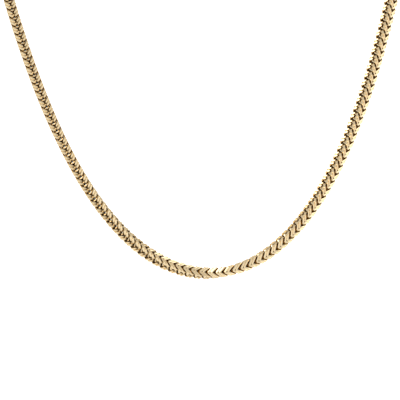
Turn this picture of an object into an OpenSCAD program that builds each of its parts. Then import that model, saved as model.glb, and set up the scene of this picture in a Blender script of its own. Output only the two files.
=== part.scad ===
// Franco chain necklace: one dense square gold chain hanging in a deep curve at
// the front, carried over the shoulders and closed at the nape by a plain clasp.
// The nape is the reference point. X runs to the right, +Y to the back, +Z up.

/* [Chain] */
// Width of the square chain across two opposite faces
chain_width = 3.2; // [2:0.1:5]
// Width of the flat part of each chain face, between its bevelled corners
face_flat = 2.4; // [1:0.1:4]

/* [Drape] */
// Radius of the front curve at its lowest point
drape_radius = 29.2; // [20:0.1:60]
// Length of chain from the lowest point up to the shoulder, on each side
front_length = 117; // [60:1:200]
// Bend radius where the chain turns over the shoulder
shoulder_radius = 15; // [8:1:40]
// Radius of the arc round the back of the neck
back_radius = 49; // [40:1:80]
// Rise of the chain from the shoulders to the nape, in degrees
back_slope = 30; // [0:1:45]

/* [Twist] */
// Distance to the right of the lowest point where a chain face looks straight ahead
untwisted_spot = 5.6; // [-20:0.1:20]
// Turn of the right branch about its own line, in degrees
right_twist = 46; // [0:1:90]
// Length of chain over which the right branch takes up its turn
right_twist_length = 32; // [10:0.2:100]
// Turn of the left branch about its own line, in degrees
left_twist = 98; // [0:1:120]
// Length of chain over which the left branch takes up its turn
left_twist_length = 40; // [10:0.2:100]
// Further turn behind the right shoulder that brings the chain square to its cap, in degrees
right_nape_turn = 35.9; // [-45:0.1:45]
// Further turn behind the left shoulder that brings the chain square to its cap, in degrees
left_nape_turn = -0.1; // [-45:0.1:45]

/* [End caps] */
// Width of the square cap on each chain end
cap_width = 3.7; // [2.5:0.1:6]
// Length of each cap
cap_length = 3.2; // [2:0.1:6]
// Bevel along each cap's long corners
cap_bevel = 0.5; // [0.1:0.1:1]
// Radius of each cap's eye, to the middle of its wire
eye_radius = 1.3; // [1:0.1:2]
// Wire diameter of the eyes
eye_wire = 0.8; // [0.6:0.1:1.2]

/* [Jump rings] */
// Radius of each jump ring, to the middle of its wire
ring_radius = 2.35; // [2:0.05:4]
// Wire diameter of the jump rings
ring_wire = 0.9; // [0.6:0.1:1.2]

/* [Clasp] */
// Thickness of the clasp
clasp_thickness = 1.4; // [1:0.1:2]
// Radius of the clasp's wide end
clasp_end_radius = 2.7; // [2:0.1:4]
// Radius of the clasp's narrow end
clasp_neck_radius = 1.5; // [1:0.1:2]
// Distance between the centres of the wide and the narrow end
clasp_body = 5.4; // [4:0.1:10]
// Radius of the opening in the clasp's wide end
opening_radius = 1.7; // [1.2:0.1:2.5]
// Radius of the tail eye
tail_radius = 1.7; // [1.2:0.1:2.5]
// Radius of the hole in the tail eye
tail_hole_radius = 1.0; // [0.8:0.1:1.5]
// Distance from the narrow end's centre to the tail eye's centre
tail_reach = 2.2; // [1.5:0.1:4]
// Play between two linked pieces
link_play = 0.3; // [0.1:0.05:0.5]

/* [Hidden] */

gold = [0.85, 0.68, 0.36];
round_steps = 64;
// Rings of the chain's tube along one side
chain_steps = 38;
// Share of the eye's wire that sits inside its cap
weld = 0.4;
// Width of the clasp's body where it meets its round ends, as a share of theirs
body_share = 0.96;

// Where the pieces sit on the line through the clasp, from the clasp's own middle
wide_end_x = clasp_body / 2;
neck_x = wide_end_x - clasp_body;
tail_x = neck_x - tail_reach;
ring_reach = ring_radius - ring_wire / 2 - link_play;
ring_right_x = wide_end_x + opening_radius + ring_reach;
ring_left_x = tail_x - tail_hole_radius - ring_reach;
eye_reach = ring_reach + eye_radius - eye_wire / 2;
eye_right_x = ring_right_x + eye_reach;
eye_left_x = ring_left_x - eye_reach;
cap_right_x = eye_right_x + eye_radius - weld * eye_wire;
cap_left_x = eye_left_x - eye_radius + weld * eye_wire;
// The whole fastening is set sideways so that both chain ends are equally far out
fastening_shift = -(cap_right_x + cap_left_x) / 2;
chain_end_x = (cap_right_x - cap_left_x) / 2 + cap_length;

// The chain's line: each station holds its point, its forward direction and two
// directions across it, the first to the front and the second to the inside.
function arc_sinh(t) = ln(t + sqrt(t * t + 1));
function hyper_tan(t) = (exp(2 * t) - 1) / (exp(2 * t) + 1);
function turned(v, k, f) = v * cos(f) + cross(k, v) * sin(f) + k * (k * v) * (1 - cos(f));
function drape(s) =
    let (h = sqrt(drape_radius * drape_radius + s * s))
    [
        [drape_radius * arc_sinh(s / drape_radius), 0, h - drape_radius],
        [drape_radius / h, 0, s / h],
        [0, -1, 0],
        [-s / h, 0, drape_radius / h]
    ];
function bent(from, toward, radius, s) =
    let (f = s / radius * 180 / PI, k = cross(from[1], toward))
    [
        from[0] + radius * (sin(f) * from[1] + (1 - cos(f)) * toward),
        cos(f) * from[1] + sin(f) * toward,
        turned(from[2], k, f),
        turned(from[3], k, f)
    ];
function straight(from, s) = [from[0] + s * from[1], from[1], from[2], from[3]];

top = drape(front_length);
back_way = [0, cos(back_slope), sin(back_slope)];
shoulder_angle = acos(top[1] * back_way);
shoulder_way = (back_way - cos(shoulder_angle) * top[1]) / sin(shoulder_angle);
shoulder_length = shoulder_radius * shoulder_angle * PI / 180;
behind = bent(top, shoulder_way, shoulder_radius, shoulder_length);
back_length = back_radius * PI / 2;
nearly = bent(behind, [-1, 0, 0], back_radius, back_length);
last_length = nearly[0][0] - chain_end_x;
side_length = front_length + shoulder_length + back_length + last_length;
nape = [0, nearly[0][1], nearly[0][2]];

function station(s) =
    s <= front_length ? drape(s)
    : s <= front_length + shoulder_length
        ? bent(top, shoulder_way, shoulder_radius, s - front_length)
    : s <= side_length - last_length
        ? bent(behind, [-1, 0, 0], back_radius, s - front_length - shoulder_length)
    : straight(nearly, s - side_length + last_length);

// Turn of the chain about its line at distance s up the right (side 1) or left (side -1) branch
function twist(side, s) =
    let (
        u = side * s - untwisted_spot,
        hanging = u > 0 ? right_twist * hyper_tan(u / right_twist_length)
            : left_twist * hyper_tan(u / left_twist_length),
        behind_share = max(0, s - front_length) / (side_length - front_length)
    )
    hanging + behind_share * (side > 0 ? right_nape_turn : left_nape_turn);

// Eight corners of the chain's square section, bevelled
half = chain_width / 2;
flat = face_flat / 2;
section = [
    [half, flat], [flat, half], [-flat, half], [-half, flat],
    [-half, -flat], [-flat, -half], [flat, -half], [half, -flat]
];
function ring_points(side, s) =
    let (
        at = station(s),
        w = twist(side, s),
        front = cos(w) * at[2] - sin(w) * at[3],
        inner = sin(w) * at[2] + cos(w) * at[3]
    )
    [for (c = section) let (p = at[0] - nape + c[0] * front + c[1] * inner) [side * p[0], p[1], p[2]]];

module chain(side) {
    rings = [for (i = [0:chain_steps]) ring_points(side, i * side_length / chain_steps)];
    corners = len(section);
    skin = [
        for (i = [0:chain_steps - 1])
        for (j = [0:corners - 1])
        let (a = i * corners + j, b = i * corners + (j + 1) % corners)
        each [[a, a + corners, b], [b, a + corners, b + corners]]
    ];
    last = chain_steps * corners;
    lids = [
        for (j = [1:corners - 2])
        each [[0, j, j + 1], [last, last + j + 1, last + j]]
    ];
    faces = concat(skin, lids);
    polyhedron(
        points = [for (r = rings) each r],
        faces = side > 0 ? faces : [for (f = faces) [f[0], f[2], f[1]]]
    );
}

module on_nape() {
    rotate([back_slope, 0, 0]) translate([fastening_shift, 0, 0]) children();
}

module torus(radius, wire) {
    rotate_extrude($fn = round_steps) translate([radius, 0]) circle(d = wire, $fn = round_steps);
}

// A cap with its eye, its mouth on the chain's end and its eye towards the clasp
module end_cap() {
    w = cap_width / 2;
    v = w - cap_bevel;
    rotate([0, 90, 0]) linear_extrude(cap_length)
        polygon([[w, v], [v, w], [-v, w], [-w, v], [-w, -v], [-v, -w], [v, -w], [w, -v]]);
    translate([-eye_radius + weld * eye_wire, 0, 0]) rotate([90, 0, 0]) torus(eye_radius, eye_wire);
}

// The clasp's body is kept a little inside its round ends, so that each edge crosses them cleanly
module clasp_outline() {
    wide = body_share * clasp_end_radius;
    narrow = body_share * clasp_neck_radius;
    translate([wide_end_x, 0]) circle(clasp_end_radius, $fn = round_steps);
    translate([neck_x, 0]) circle(clasp_neck_radius, $fn = round_steps);
    polygon([[neck_x, narrow], [neck_x, -narrow], [wide_end_x, -wide], [wide_end_x, wide]]);
    translate([tail_x, 0]) circle(tail_radius, $fn = round_steps);
}

module clasp_holes() {
    translate([wide_end_x, 0]) circle(opening_radius, $fn = round_steps);
    translate([tail_x, 0]) circle(tail_hole_radius, $fn = round_steps);
}

module chain_left() {
    color(gold) chain(-1);
}

module chain_right() {
    color(gold) chain(1);
}

module end_cap_left() {
    color(gold) on_nape() translate([cap_left_x, 0, 0]) mirror([1, 0, 0]) end_cap();
}

module end_cap_right() {
    color(gold) on_nape() translate([cap_right_x, 0, 0]) end_cap();
}

module jump_ring_left() {
    color(gold) on_nape() translate([ring_left_x, 0, 0]) torus(ring_radius, ring_wire);
}

module jump_ring_right() {
    color(gold) on_nape() translate([ring_right_x, 0, 0]) torus(ring_radius, ring_wire);
}

module clasp() {
    color(gold) on_nape() rotate([90, 0, 0])
        linear_extrude(clasp_thickness, center = true) difference() {
            clasp_outline();
            clasp_holes();
        }
}

chain_left();
chain_right();
end_cap_left();
end_cap_right();
jump_ring_left();
jump_ring_right();
clasp();
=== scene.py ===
from math import acos, asinh, cos, hypot, pi, radians, sin, tanh

import bpy
from mathutils import Matrix, Vector


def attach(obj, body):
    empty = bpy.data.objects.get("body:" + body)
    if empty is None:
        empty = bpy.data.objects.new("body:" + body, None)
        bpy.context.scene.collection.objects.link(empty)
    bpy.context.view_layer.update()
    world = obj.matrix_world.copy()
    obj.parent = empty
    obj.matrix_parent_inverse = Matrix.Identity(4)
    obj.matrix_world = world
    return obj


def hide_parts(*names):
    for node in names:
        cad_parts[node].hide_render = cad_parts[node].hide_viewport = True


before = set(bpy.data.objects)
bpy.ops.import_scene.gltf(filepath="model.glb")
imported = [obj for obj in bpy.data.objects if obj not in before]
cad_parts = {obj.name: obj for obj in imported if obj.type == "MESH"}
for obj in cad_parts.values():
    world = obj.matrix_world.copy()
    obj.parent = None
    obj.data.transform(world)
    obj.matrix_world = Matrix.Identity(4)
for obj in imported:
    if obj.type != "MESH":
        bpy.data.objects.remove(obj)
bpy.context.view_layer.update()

MM = 0.001

# The chain's line, the same as that of the solid tube: a hanging curve in front, a bend
# over each shoulder, an arc round the back of the neck and a straight run into the end cap.
# It is worked out for the right half, from the lowest point up, and mirrored for the left.
DRAPE_RADIUS = 29.2 * MM
FRONT_LENGTH = 117 * MM
SHOULDER_RADIUS = 15 * MM
BACK_RADIUS = 49 * MM
BACK_SLOPE = radians(30)
CHAIN_END_X = 13.43 * MM
TO_THE_MIDDLE = Vector((-1, 0, 0))

# How the chain turns about its own line, away from the spot where a face looks straight
# ahead. Each branch takes up its turn over its own length, and behind the shoulders it
# turns on until it is square to its cap.
UNTWISTED_SPOT = 5.6 * MM
RIGHT_TWIST = radians(46)
RIGHT_TWIST_LENGTH = 32 * MM
LEFT_TWIST = radians(98)
LEFT_TWIST_LENGTH = 40 * MM
RIGHT_NAPE_TURN = radians(35.9)
LEFT_NAPE_TURN = radians(-0.1)

# The weave: two links to each repeat, closer to each other than to the next two. The
# repeat is a little longer on the steep branches than at the lowest point.
REPEAT_BOTTOM = 2.60 * MM
REPEAT_TOP = 2.70 * MM
REPEAT_GROWS_OVER = 45 * MM
PAIR_SHIFT = 0.38 * MM
# How far past the chain's end, inside the end cap, the last link may sit
SEATED = 0.6 * MM

# A quarter of a link's wire, from the middle of its fold to the tip of one end. Each row
# is sideways, out of the face and along the chain in millimetres, then how many times
# as thick as elsewhere the wire is there. It is fuller inside the chain, where the links
# bear on each other.
FOLD = (0.00, 0.48, 0.20, 2.0)
FOLD_END = (0.95, 0.60, 0.16, 1.35)
EDGE = (1.36, 0.94, 0.56, 1.0)
CORNER = (1.25, 1.35, 1.02, 1.0)
ARM_END = (0.08, 1.43, 2.26, 1.0)
HIGH_TIP = (1.24, 0.00, 1.84, 1.0)
DEEP_TIP = (0.84, 0.00, 2.08, 1.5)
# The point along a link that comes to its place on the chain, in millimetres
LINK_MIDDLE = 1.10
WIRE_RADIUS = 0.38 * MM
# The polished flats, from the chain's middle line out to its sides and its faces
SIDE_FLAT = 1.62 * MM
FACE_FLAT = 1.72 * MM
SMOOTH_ANGLE = radians(35)

# Gold, polished on the flats, with painted shade down between the links. The two depths
# are shares of the way from the chain's middle line out to the flats.
GOLD = (0.94, 0.75, 0.46, 1)
PAINTED_SHADE_GOLD = (0.20, 0.10, 0.014, 1)
PAINTED_SHADE_DEPTH = 0.70
UNSHADED_DEPTH = 0.88
GOLD_ROUGHNESS = 0.16

# The studio: all soft and white, with two lit cards for the highlights
WORLD_WHITE = (1, 1, 1, 1)
WORLD_STRENGTH = 0.70
PANEL_WHITE = (0.9, 0.9, 0.9, 1)
PANEL_GLOW = (1, 1, 1, 1)
PANEL_ROUGHNESS = 0.9

# The picture's width at the chain, its middle counted from the lowest point, its lean,
# and the camera's lens and sensor in millimetres
VIEW_WIDTH = 125 * MM
VIEW_MIDDLE_X = -2.86 * MM
VIEW_MIDDLE_Z = 22.98 * MM
VIEW_LEAN = radians(2.06)
LENS = 180
SENSOR_WIDTH = 36


def drape(s):
    """The hanging curve at distance s from its lowest point: its point, its forward
    direction and two directions across it, the first to the front, the second inward."""
    h = hypot(DRAPE_RADIUS, s)
    return (
        Vector((DRAPE_RADIUS * asinh(s / DRAPE_RADIUS), 0, h - DRAPE_RADIUS)),
        Vector((DRAPE_RADIUS / h, 0, s / h)),
        Vector((0, -1, 0)),
        Vector((-s / h, 0, DRAPE_RADIUS / h)),
    )


def bent(start, toward, radius, s):
    """The station at distance s along an arc that leaves the start and bends toward."""
    point, way, front, inner = start
    f = s / radius
    turn = Matrix.Rotation(f, 3, way.cross(toward))
    return (
        point + radius * (sin(f) * way + (1 - cos(f)) * toward),
        turn @ way,
        turn @ front,
        turn @ inner,
    )


TOP = drape(FRONT_LENGTH)
BACK_WAY = Vector((0, cos(BACK_SLOPE), sin(BACK_SLOPE)))
SHOULDER_ANGLE = acos(TOP[1].dot(BACK_WAY))
SHOULDER_WAY = (BACK_WAY - cos(SHOULDER_ANGLE) * TOP[1]) / sin(SHOULDER_ANGLE)
SHOULDER_LENGTH = SHOULDER_RADIUS * SHOULDER_ANGLE
BEHIND = bent(TOP, SHOULDER_WAY, SHOULDER_RADIUS, SHOULDER_LENGTH)
BACK_LENGTH = BACK_RADIUS * pi / 2
ARC_END = bent(BEHIND, TO_THE_MIDDLE, BACK_RADIUS, BACK_LENGTH)
SIDE_LENGTH = FRONT_LENGTH + SHOULDER_LENGTH + BACK_LENGTH + ARC_END[0].x - CHAIN_END_X
NAPE = Vector((0, ARC_END[0].y, ARC_END[0].z))


def station(s):
    """The right half's station at distance s from the lowest point."""
    if s <= FRONT_LENGTH:
        return drape(s)
    s -= FRONT_LENGTH
    if s <= SHOULDER_LENGTH:
        return bent(TOP, SHOULDER_WAY, SHOULDER_RADIUS, s)
    s -= SHOULDER_LENGTH
    if s <= BACK_LENGTH:
        return bent(BEHIND, TO_THE_MIDDLE, BACK_RADIUS, s)
    point, way, front, inner = ARC_END
    return point + (s - BACK_LENGTH) * way, way, front, inner


def twist(side, s):
    """Turn of the chain at distance s up the right (side 1) or left (side -1) branch."""
    u = side * s - UNTWISTED_SPOT
    if u > 0:
        turn = RIGHT_TWIST * tanh(u / RIGHT_TWIST_LENGTH)
    else:
        turn = LEFT_TWIST * tanh(u / LEFT_TWIST_LENGTH)
    extra = RIGHT_NAPE_TURN if side > 0 else LEFT_NAPE_TURN
    return turn + extra * max(0, s - FRONT_LENGTH) / (SIDE_LENGTH - FRONT_LENGTH)


def chain_place(u):
    """Point, way to the right, face direction and inward direction at distance u along
    the whole chain, counted from the lowest point, positive on the right half."""
    side = 1 if u >= 0 else -1
    point, way, front, inner = station(abs(u))
    w = twist(side, abs(u))
    face = cos(w) * front - sin(w) * inner
    across = sin(w) * front + cos(w) * inner
    mirror = Matrix.Diagonal((side, 1, 1))
    return mirror @ (point - NAPE), side * (mirror @ way), mirror @ face, mirror @ across


def select_only(objects):
    """Selects these objects alone, the first of them active."""
    bpy.ops.object.select_all(action="DESELECT")
    for o in objects:
        o.select_set(True)
    bpy.context.view_layer.objects.active = objects[0]


def make_gold(name):
    material = bpy.data.materials.new(name)
    material.use_nodes = True
    shader = material.node_tree.nodes["Principled BSDF"]
    shader.inputs["Base Color"].default_value = GOLD
    shader.inputs["Metallic"].default_value = 1.0
    shader.inputs["Roughness"].default_value = GOLD_ROUGHNESS
    return material


def make_link_gold(name):
    """Gold with painted shade down between the links, set by the mesh's depth attribute."""
    material = make_gold(name)
    nodes = material.node_tree.nodes
    depth = nodes.new("ShaderNodeAttribute")
    depth.attribute_name = "depth"
    # Painted shade: the colour runs from dark gold deep inside the chain to full gold at
    # the flats
    ramp = nodes.new("ShaderNodeValToRGB")
    painted_shade, polished = ramp.color_ramp.elements
    painted_shade.position = PAINTED_SHADE_DEPTH
    painted_shade.color = PAINTED_SHADE_GOLD
    polished.position = UNSHADED_DEPTH
    polished.color = GOLD
    links = material.node_tree.links
    links.new(depth.outputs["Fac"], ramp.inputs["Fac"])
    links.new(ramp.outputs["Color"], nodes["Principled BSDF"].inputs["Base Color"])
    return material


def link_loop(tip):
    """All of a link's wire: the quarter and its three mirror images, end to end."""
    quarter = [FOLD, FOLD_END, EDGE, CORNER, ARM_END, tip]
    loop = list(quarter)
    loop += [(x, -y, z, thickness) for x, y, z, thickness in quarter[-2::-1]]
    loop += [(-x, -y, z, thickness) for x, y, z, thickness in quarter[1:]]
    loop += [(-x, y, z, thickness) for x, y, z, thickness in quarter[-2:0:-1]]
    return loop


def make_link(tip):
    """One V link of six-sided wire, ground flat where it reaches the chain's four faces."""
    bpy.ops.object.select_all(action="DESELECT")
    bpy.ops.curve.primitive_nurbs_circle_add(location=(0, 0, 0))
    line = bpy.context.active_object.data
    line.splines.clear()
    loop = link_loop(tip)
    spline = line.splines.new("POLY")
    spline.points.add(len(loop) - 1)
    spline.use_cyclic_u = True
    for point, (x, y, z, thickness) in zip(spline.points, loop):
        point.co = (x * MM, y * MM, (LINK_MIDDLE - z) * MM, 1)
        point.radius = thickness
    line.bevel_depth = WIRE_RADIUS
    line.bevel_resolution = 1
    bpy.ops.object.convert(target="MESH")
    link = bpy.context.active_object
    # The depth attribute steers the painted shade, darker the further the wire sits inside
    # the flats
    depth = link.data.attributes.new("depth", "FLOAT", "POINT")
    for v in link.data.vertices:
        v.co.x = min(SIDE_FLAT, max(-SIDE_FLAT, v.co.x))
        v.co.y = min(FACE_FLAT, max(-FACE_FLAT, v.co.y))
        depth.data[v.index].value = max(abs(v.co.x) / SIDE_FLAT, abs(v.co.y) / FACE_FLAT)
    select_only([link])
    bpy.ops.object.shade_smooth_by_angle(angle=SMOOTH_ANGLE)
    return link


def link_places(side):
    """Distances along the whole chain of one half's links, from the lowest point up."""
    places = []
    s = 0.0
    while s <= SIDE_LENGTH + SEATED:
        shift = -PAIR_SHIFT / 2 if len(places) % 2 else PAIR_SHIFT / 2
        places.append(side * s + shift)
        grown = min(1, s / REPEAT_GROWS_OVER)
        s += (REPEAT_BOTTOM + (REPEAT_TOP - REPEAT_BOTTOM) * grown) / 2
    return places


def make_side(name, side, patterns, material):
    """One half of the chain, its links copied along the line and joined. The link at the
    lowest point belongs to the right half."""
    first = 0 if side > 0 else 1
    copies = []
    for index, u in enumerate(link_places(side)[first:], first):
        point, way, face, across = chain_place(u)
        link = patterns[index % 2].copy()
        link.data = link.data.copy()
        bpy.context.collection.objects.link(link)
        turn = Matrix((across, face, way)).transposed()
        link.data.transform(Matrix.Translation(point) @ turn.to_4x4())
        copies.append(link)
    select_only(copies)
    bpy.ops.object.join()
    chain = bpy.context.active_object
    chain.name = name
    chain.data.materials.clear()
    chain.data.materials.append(material)
    return chain


def light_world():
    world = bpy.data.worlds.new("studio")
    world.use_nodes = True
    background = world.node_tree.nodes["Background"]
    background.inputs["Color"].default_value = WORLD_WHITE
    background.inputs["Strength"].default_value = WORLD_STRENGTH
    bpy.context.scene.world = world


def make_panel(name, centre, width, height, facing, glow):
    """A plain white board that glows a little."""
    bpy.ops.object.select_all(action="DESELECT")
    bpy.ops.mesh.primitive_plane_add(size=1, location=centre)
    panel = bpy.context.active_object
    panel.name = name
    panel.scale = (width, height, 1)
    panel.rotation_euler = Vector(facing).to_track_quat("Z", "Y").to_euler()
    material = bpy.data.materials.new(name)
    material.use_nodes = True
    shader = material.node_tree.nodes["Principled BSDF"]
    shader.inputs["Base Color"].default_value = PANEL_WHITE
    shader.inputs["Roughness"].default_value = PANEL_ROUGHNESS
    shader.inputs["Emission Color"].default_value = PANEL_GLOW
    shader.inputs["Emission Strength"].default_value = glow
    panel.data.materials.append(material)
    return panel


def make_card(name, place, target, width, height, energy):
    """A soft rectangular light that looks at the target."""
    light = bpy.data.lights.new(name, "AREA")
    light.shape = "RECTANGLE"
    light.size = width
    light.size_y = height
    light.energy = energy
    card = bpy.data.objects.new(name, light)
    card.location = place
    card.rotation_euler = (target - card.location).to_track_quat("-Z", "Y").to_euler()
    bpy.context.collection.objects.link(card)


def make_camera(target):
    """A camera straight in front of the target, leaning as the picture does."""
    lens = bpy.data.cameras.new("camera")
    lens.lens = LENS
    lens.sensor_width = SENSOR_WIDTH
    camera = bpy.data.objects.new("camera", lens)
    camera.location = target - Vector((0, VIEW_WIDTH * LENS / SENSOR_WIDTH, 0))
    camera.rotation_euler = (radians(90), VIEW_LEAN, 0)
    bpy.context.collection.objects.link(camera)
    bpy.context.scene.camera = camera


# The two chain halves, in place of the solid tubes
gold = make_gold("polished gold")
link_gold = make_link_gold("link gold")
patterns = [make_link(DEEP_TIP), make_link(HIGH_TIP)]
right_links = make_side("links_right", 1, patterns, link_gold)
left_links = make_side("links_left", -1, patterns, link_gold)
for pattern in patterns:
    bpy.data.objects.remove(pattern)
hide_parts("chain_right")
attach(right_links, "root")
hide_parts("chain_left")
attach(left_links, "root")

# The fastening at the nape
for name in ("end_cap_left", "end_cap_right", "jump_ring_left", "jump_ring_right", "clasp"):
    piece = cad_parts[name]
    piece.data.materials.clear()
    piece.data.materials.append(gold)

# The studio and the camera
middle = Vector((VIEW_MIDDLE_X, -NAPE.y, VIEW_MIDDLE_Z - NAPE.z))
bpy.context.scene.view_settings.view_transform = "Standard"
light_world()
backdrop = make_panel(
    "backdrop", centre=(0, 1.5, -0.1), width=0.8, height=0.8, facing=(0, -1, 0), glow=1.1)
# Left out of reflections, so that the chain's bright edges stand out against it
backdrop.visible_glossy = False
make_panel("floor", centre=(0, 0, -0.3), width=2, height=2, facing=(0, 0, 1), glow=0.2)
make_card("key", place=(-0.6, -0.5, 0.5), target=middle, width=0.5, height=0.5, energy=2.0)
make_card("fill", place=(0.7, -0.4, 0.1), target=middle, width=0.4, height=0.7, energy=0.8)
make_camera(middle)
